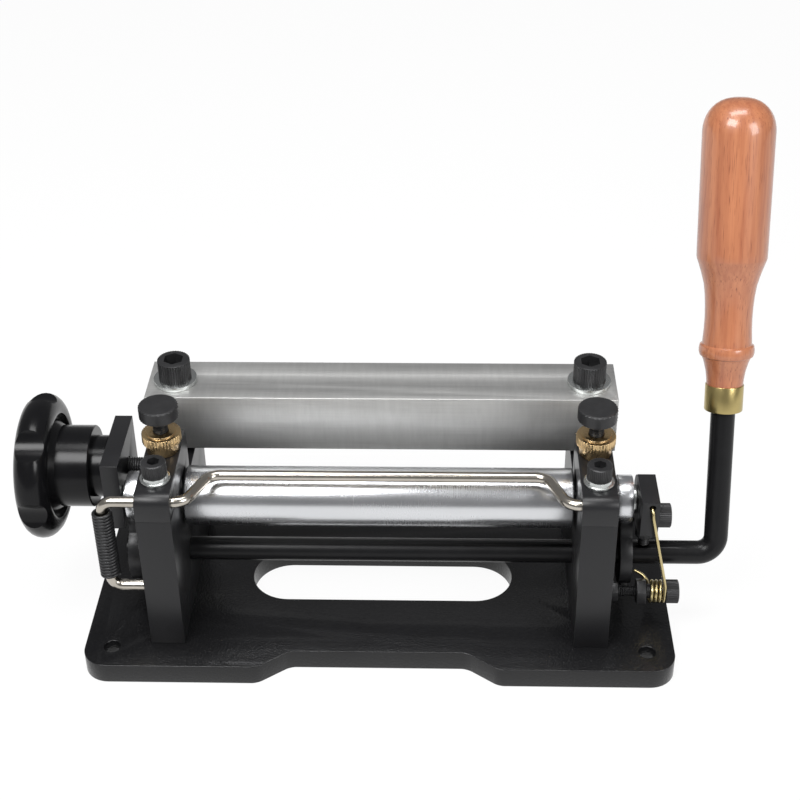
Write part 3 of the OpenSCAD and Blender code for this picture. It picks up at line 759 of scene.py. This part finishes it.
class SPLITTER_OT_thumb_screws(bpy.types.Operator):
    """Model the threaded shanks, and finish the knurled heads and lock nuts"""
    bl_idname = "splitter.thumb_screws"
    bl_label = "Thumb screws"

    def execute(self, context):
        s = sizes()
        wide = high("left_thumb_shank") - low("left_thumb_shank")
        shank = threaded(wide.x / 2, low("left_thumb_shank").z, high("left_thumb_shank").z,
                         s.thread_pitch, s.thread_depth)
        wide = high("left_thumb_head") - low("left_thumb_head")
        head = knurled_head(wide.x / 2, wide.z)
        for side in ("left", "right"):
            node, top = side + "_thumb_shank", side + "_thumb_head"
            x, y, _ = middle(node)
            self.stand(copy_of(shank), node, (x, y, 0.0), THREAD_SMOOTH)
            self.stand(copy_of(head), top, (x, y, low(top).z), KNURL_SMOOTH)
            broken_edges(side + "_lock_nut", 0.16 * MM, angle=50.0)
        for pattern in (shank, head):
            bpy.data.objects.remove(pattern)
        stud = "lock_stud"
        thread = threaded((high(stud).z - low(stud).z) / 2, 0.0, high(stud).x - low(stud).x,
                          s.thread_pitch, s.thread_depth)
        self.stand(thread, stud, (low(stud).x, middle(stud).y, middle(stud).z), THREAD_SMOOTH,
                   frame_to(RIGHT))
        return {"FINISHED"}

    def stand(self, piece, node, position, angle, turn=None):
        """Moves a piece from the origin to its node's place and finishes it"""
        place(piece, position, turn)
        smooth(piece, angle)
        finish_piece(piece, node)


class SPLITTER_OT_knob(bpy.types.Operator):
    """Finish the moulded hand knob"""
    bl_idname = "splitter.knob"
    bl_label = "Hand knob"

    def execute(self, context):
        knob = broken_edges("hand_knob", 0.8 * MM, segments=3, angle=25.0)
        even = knob.modifiers.new("even_shading", "WEIGHTED_NORMAL")
        even.keep_sharp = True
        apply_modifiers(knob)
        return {"FINISHED"}


# The turned grip: share of its length, and share of its largest radius
GRIP_TURNS = [(0.0, 0.52), (0.02, 0.53), (0.05, 0.565), (0.085, 0.64), (0.103, 0.70),
              (0.107, 0.755), (0.118, 0.782), (0.132, 0.782), (0.143, 0.76), (0.148, 0.70),
              (0.165, 0.69), (0.20, 0.672), (0.24, 0.664), (0.28, 0.672), (0.32, 0.695),
              (0.36, 0.74), (0.40, 0.83), (0.43, 0.91), (0.448, 0.962), (0.456, 0.978),
              (0.48, 0.982), (0.6, 0.988), (0.75, 0.994), (0.86, 0.998)]
# The dome at the grip's end, as a share of its length, and its steps
GRIP_DOME = 0.115
DOME_STEPS = 10


class SPLITTER_OT_lever(bpy.types.Operator):
    """Model the wooden grip and finish the lever rod and its ferrule"""
    bl_idname = "splitter.lever"
    bl_label = "Lever"

    def execute(self, context):
        broken_edges("lever_rod", 0.0, angle=30.0)
        ferrule = broken_edges("lever_ferrule", 0.3 * MM)
        ferrule.data.materials[0] = MATERIALS["ferrule"]
        lean = sizes().lever_lean
        arm = Vector((0.0, sin(lean), cos(lean)))
        x = middle("lever_grip").x
        radius = (high("lever_grip").x - low("lever_grip").x) / 2
        foot, tip = grip_ends(arm)
        span = tip - foot
        profile = [(0.0, 0.0)]
        profile += [(share * radius, t * span) for t, share in GRIP_TURNS]
        for step in range(DOME_STEPS + 1):
            a = step * pi / 2 / DOME_STEPS
            profile.append((radius * max(cos(a), 0.0) ** 0.8,
                            span * (1 - GRIP_DOME + GRIP_DOME * sin(a))))
        profile[-1] = (0.0, span)
        grip = turned(profile, steps=72)
        base = Vector((x, LEVER_AXIS.y, LEVER_AXIS.z)) + arm * foot
        place(grip, base, frame_to(arm))
        smooth(grip, angle=28.0)
        finish_piece(grip, "lever_grip")
        return {"FINISHED"}


def grip_ends(arm):
    """How far along the arm the grip starts and ends, from the lever's axis"""
    along = [(Vector(v.co) - LEVER_AXIS).dot(arm) for v in NODES["lever_grip"].data.vertices]
    return min(along), max(along)


class SPLITTER_OT_rods(bpy.types.Operator):
    """Finish the guide rod and its pin, and model the two springs"""
    bl_idname = "splitter.rods"
    bl_label = "Rods and springs"

    def execute(self, context):
        finish_piece(wire_along(guide_rod_route(), ROD, resolution=6), "guide_rod")
        finish_piece(wire_along(spring_pin_route(), ROD, resolution=6), "guide_spring_pin")
        guide_spring()
        return_spring()
        return {"FINISHED"}


# The guide rod: its diameter, its S-bends' reach, drop, radius and angle, and its end bend
ROD = 6 * MM
REACH = 26 * MM
DROP = -2 * MM
S_RADIUS = 9 * MM
S_ANGLE = radians(70)
END_RADIUS = 6 * MM
END_LEG = 12 * MM
BEND_STEPS = 14
QUARTER_TURN = [pi / 2 * step / BEND_STEPS for step in range(BEND_STEPS + 1)]
# How far the S-bends start inside the posts' outer faces
BEND_START = 18.8 * MM


def guide_spring_x():
    """Where the guide spring stands, on the lower pin's upright end"""
    return low("guide_spring_pin").x + ROD / 2


def s_bend(start):
    """One S-bend's centre line from the bore inwards: place along X, distance from the bore"""
    arm = sqrt(REACH ** 2 + DROP ** 2)
    slope = (arm - 2 * S_RADIUS * (1 - cos(S_ANGLE))) / sin(S_ANGLE)
    inner = start - 2 * S_RADIUS * sin(S_ANGLE) - slope * cos(S_ANGLE)
    angles = [S_ANGLE * step / BEND_STEPS for step in range(BEND_STEPS + 1)]
    return ([(start - S_RADIUS * sin(a), S_RADIUS * (1 - cos(a))) for a in angles]
            + [(inner + S_RADIUS * sin(a), arm - S_RADIUS * (1 - cos(a)))
               for a in reversed(angles)])


def guide_rod_route():
    """From the leg inside the spring, over the end bend and both S-bends, to the right cap"""
    tilt = atan2(DROP, REACH)
    side = s_bend(-low("left_post").x - BEND_START)
    spring_x = guide_spring_x()
    local = [(spring_x, 0.0, -END_RADIUS - END_LEG)]
    local += [(spring_x + END_RADIUS * (1 - cos(a)), 0.0, -END_RADIUS * (1 - sin(a)))
              for a in QUARTER_TURN]
    local += [(-x, y * cos(tilt), y * sin(tilt)) for x, y in side]
    local += [(x, y * cos(tilt), y * sin(tilt)) for x, y in reversed(side)]
    local.append((high("guide_rod").x, 0.0, 0.0))
    bore = Vector((0.0, GUIDE_AXIS.y, GUIDE_AXIS.z))
    return [bore + Vector(point) for point in local]


def spring_pin_route():
    """From the post, round the bend and up into the spring"""
    spring_x = guide_spring_x()
    z = low("guide_spring_pin").z + ROD / 2
    route = [Vector((high("guide_spring_pin").x, GUIDE_AXIS.y, z))]
    route += [Vector((spring_x + END_RADIUS * (1 - sin(a)), GUIDE_AXIS.y,
                      z + END_RADIUS * (1 - cos(a)))) for a in QUARTER_TURN]
    route.append(Vector((spring_x, GUIDE_AXIS.y, z + END_RADIUS + END_LEG)))
    return route


def wire_along(route, diameter, resolution):
    """A round wire along points, with closed ends"""
    deselect()
    bpy.ops.curve.primitive_nurbs_path_add()
    piece = bpy.context.object
    curve = piece.data
    curve.splines.clear()
    spline = curve.splines.new("POLY")
    spline.points.add(len(route) - 1)
    for point, here in zip(spline.points, route):
        point.co = (*here, 1.0)
    curve.bevel_depth = diameter / 2
    curve.bevel_resolution = resolution
    curve.use_fill_caps = True
    take(piece)
    bpy.ops.object.convert(target="MESH")
    piece = bpy.context.object
    place(piece)
    close_up(piece, 0.001 * MM)
    smooth(piece, angle=50.0)
    return piece


# The guide spring's wire, here and in the CAD, and its steps in each curl
GUIDE_WIRE = 1.75 * MM
CAD_WIRE = 1.6 * MM
CURL_STEPS = 28


def guide_spring():
    """A close-wound spring: a wire section carried round by a screw"""
    node = "guide_spring"
    bottom, top = low(node).z, high(node).z
    curls = sizes().guide_curls
    pitch = (top - bottom - GUIDE_WIRE) / curls
    coil_r = (high(node).y - low(node).y - CAD_WIRE) / 2
    deselect()
    bpy.ops.mesh.primitive_circle_add(vertices=12, radius=GUIDE_WIRE / 2,
                                      location=(coil_r, 0, 0), rotation=(pi / 2, 0, 0))
    piece = bpy.context.object
    bpy.ops.object.transform_apply(location=True, rotation=True, scale=True)
    wind = piece.modifiers.new("wind", "SCREW")
    wind.axis = "Z"
    wind.screw_offset = pitch
    wind.iterations = curls
    wind.steps = CURL_STEPS
    wind.render_steps = CURL_STEPS
    apply_modifiers(piece)
    edit(piece, "EDGE")
    bpy.ops.mesh.select_all(action="DESELECT")
    bpy.ops.mesh.select_non_manifold()
    bpy.ops.mesh.edge_face_add()
    leave()
    close_up(piece, 0.001 * MM)
    place(piece, (guide_spring_x(), GUIDE_AXIS.y, bottom + GUIDE_WIRE / 2))
    smooth(piece, angle=45.0)
    return finish_piece(piece, node)


# The return spring: its wire, mean radius, pitch, curls, steps in a curl, and gap to the head
RETURN_WIRE = 1.8 * MM
RETURN_R = 5.6 * MM
RETURN_PITCH = 2.3 * MM
RETURN_CURLS = 3.5
RETURN_STEPS = 24
RETURN_GAP = 0.3 * MM
# Its hole's place in the hold-down block, and its hook round the block's edge from that hole, mm
HOLE_INSET = 5.6 * MM
HOLE_DROP = 4 * MM
HOOK = ((0, 3, 0), (0, 1, -0.2), (0.1, -0.6, -1), (0.3, -1.5, -2.4), (0.6, -1.9, -5))


def return_spring():
    """The return spring: its long leg, its curls and its short leg, on one curve"""
    coil = Vector((0.0, middle("spring_screw").y, middle("spring_screw").z))
    start_x = high("spring_screw").x - SIDE_HEAD[1] - RETURN_WIRE / 2 - RETURN_GAP
    end_x = start_x - RETURN_CURLS * RETURN_PITCH
    block_x = low("hold_down_block").x
    hole = Vector((block_x + HOLE_INSET, low("hold_down_block").y,
                   high("hold_down_block").z - HOLE_DROP))
    route = [hole + MM * Vector(point) for point in HOOK]
    route.append(Vector((start_x, coil.y - RETURN_R, coil.z + 8 * MM)))
    for count in range(int(RETURN_CURLS * RETURN_STEPS) + 1):
        a = pi + 2 * pi * count / RETURN_STEPS
        route.append(Vector((start_x - count * RETURN_PITCH / RETURN_STEPS,
                             coil.y + RETURN_R * cos(a), coil.z + RETURN_R * sin(a))))
    # The short leg rises from the last curl to the block's inner face
    short_leg = Vector((0.0, coil.y + RETURN_R, coil.z))
    route += [short_leg + Vector(point) for point in
              ((end_x - 0.3 * MM, 1 * MM, 2.2 * MM), (end_x - 2.8 * MM, 2.6 * MM, 4.8 * MM),
               (block_x + 0.8 * MM, 3 * MM, 7.6 * MM))]
    return finish_piece(wire_along(route, RETURN_WIRE, resolution=3), "return_spring")


# --- Stage ------------------------------------------------------------------------------------

# The camera that was fitted to the photo: its place, its axes, and its lens and sensor in mm
CAMERA_PLACE = Vector((0.03573, -0.67072, 0.59328))
CAMERA_RIGHT = Vector((0.99954, 0.02813, -0.01155))
CAMERA_UP = Vector((-0.00629, 0.56286, 0.82653))
CAMERA_LENS = 69.3
SENSOR = 36.0
FLOOR_SIZE = 8.0
FLOOR_Z = -0.2 * MM
# Area lights: name, place, width and height, and power; all aim at one point
LIGHTS = (("key", (-0.5, -0.65, 1.2), (0.7, 0.5), 16.0),
          ("fill", (0.9, -0.75, 0.8), (0.5, 0.6), 9.0),
          ("top", (0.0, 0.0, 1.4), (0.9, 0.35), 11.0))
AIM = Vector((0.0, 0.0, 0.08))
WORLD_TINT = (0.5, 0.5, 0.51, 1.0)
WORLD_STRENGTH = 0.45


def area_light(name, position, size, power):
    lamp = bpy.data.lights.new(name, "AREA")
    lamp.shape = "RECTANGLE"
    lamp.size, lamp.size_y = size
    lamp.energy = power
    holder = bpy.data.objects.new(name, lamp)
    bpy.context.scene.collection.objects.link(holder)
    holder.location = position
    holder.rotation_euler = (AIM - Vector(position)).to_track_quat("-Z", "Y").to_euler()


class SPLITTER_OT_stage(bpy.types.Operator):
    """Set the floor, the lights and the camera"""
    bl_idname = "splitter.stage"
    bl_label = "Stage"

    def execute(self, context):
        scene = context.scene
        deselect()
        bpy.ops.mesh.primitive_plane_add(size=FLOOR_SIZE, location=(0, 0, FLOOR_Z))
        floor = context.object
        floor.name = "floor"
        floor.data.materials.append(floor_material())
        for light in LIGHTS:
            area_light(*light)
        world = bpy.data.worlds.new("studio")
        scene.world = world
        world.use_nodes = True
        back = world.node_tree.nodes["Background"]
        back.inputs["Color"].default_value = WORLD_TINT
        back.inputs["Strength"].default_value = WORLD_STRENGTH
        camera = bpy.data.cameras.new("camera")
        camera.lens = CAMERA_LENS
        camera.sensor_width = SENSOR
        camera.sensor_fit = "HORIZONTAL"
        camera.clip_start = 0.01
        holder = bpy.data.objects.new("camera", camera)
        scene.collection.objects.link(holder)
        right = CAMERA_RIGHT.normalized()
        back_axis = right.cross(CAMERA_UP).normalized()
        up = back_axis.cross(right)
        turn = Matrix((right, up, back_axis)).transposed()
        holder.matrix_world = Matrix.Translation(CAMERA_PLACE) @ turn.to_4x4()
        scene.camera = holder
        scene.view_settings.view_transform = "Standard"
        return {"FINISHED"}


def floor_material():
    """A pale floor that the camera and the metals see near white, with its shadows kept"""
    s = Shader("floor")
    s.set(Base_Color=tuple(colours().floor), Roughness=0.8)
    camera, glossy, transmission = (
        s.node("ShaderNodeLightPath", {}, {}, ray)
        for ray in ("Is Camera Ray", "Is Glossy Ray", "Is Transmission Ray"))
    glow = s.node("ShaderNodeEmission", {}, {"Color": (1.0, 1.0, 1.0, 1.0), "Strength": 1.0})
    seen = s.node("ShaderNodeMixShader", {},
                  {0: (camera + glossy + transmission) * FLOOR_GLOW,
                   1: Value(s, s.surface.outputs["BSDF"]), 2: glow})
    s.tree.links.new(seen.socket, s.tree.nodes["Material Output"].inputs["Surface"])
    return s.material


class SPLITTER_PT_panel(bpy.types.Panel):
    """Steps of the splitting machine"""
    bl_label = "Leather splitter"
    bl_idname = "SPLITTER_PT_panel"
    bl_space_type = "VIEW_3D"
    bl_region_type = "UI"
    bl_category = "Splitter"

    def draw(self, context):
        for operator in STEPS:
            self.layout.operator(operator.bl_idname)
        for group in (context.scene.splitter_sizes, context.scene.splitter_colours):
            for key in group.__annotations__:
                self.layout.prop(group, key)


STEPS = (SPLITTER_OT_materials, SPLITTER_OT_base, SPLITTER_OT_bar, SPLITTER_OT_roller,
         SPLITTER_OT_screws, SPLITTER_OT_thumb_screws, SPLITTER_OT_knob, SPLITTER_OT_lever,
         SPLITTER_OT_rods, SPLITTER_OT_stage)
CLASSES = (SPLITTER_PG_sizes, SPLITTER_PG_colours, *STEPS, SPLITTER_PT_panel)


def register():
    for item in CLASSES:
        bpy.utils.register_class(item)
    bpy.types.Scene.splitter_sizes = PointerProperty(type=SPLITTER_PG_sizes)
    bpy.types.Scene.splitter_colours = PointerProperty(type=SPLITTER_PG_colours)


def unregister():
    del bpy.types.Scene.splitter_colours
    del bpy.types.Scene.splitter_sizes
    for item in reversed(CLASSES):
        bpy.utils.unregister_class(item)


def main():
    register()
    for step in STEPS:
        group, name = step.bl_idname.split(".")
        getattr(getattr(bpy.ops, group), name)()


if __name__ == "__main__":
    main()
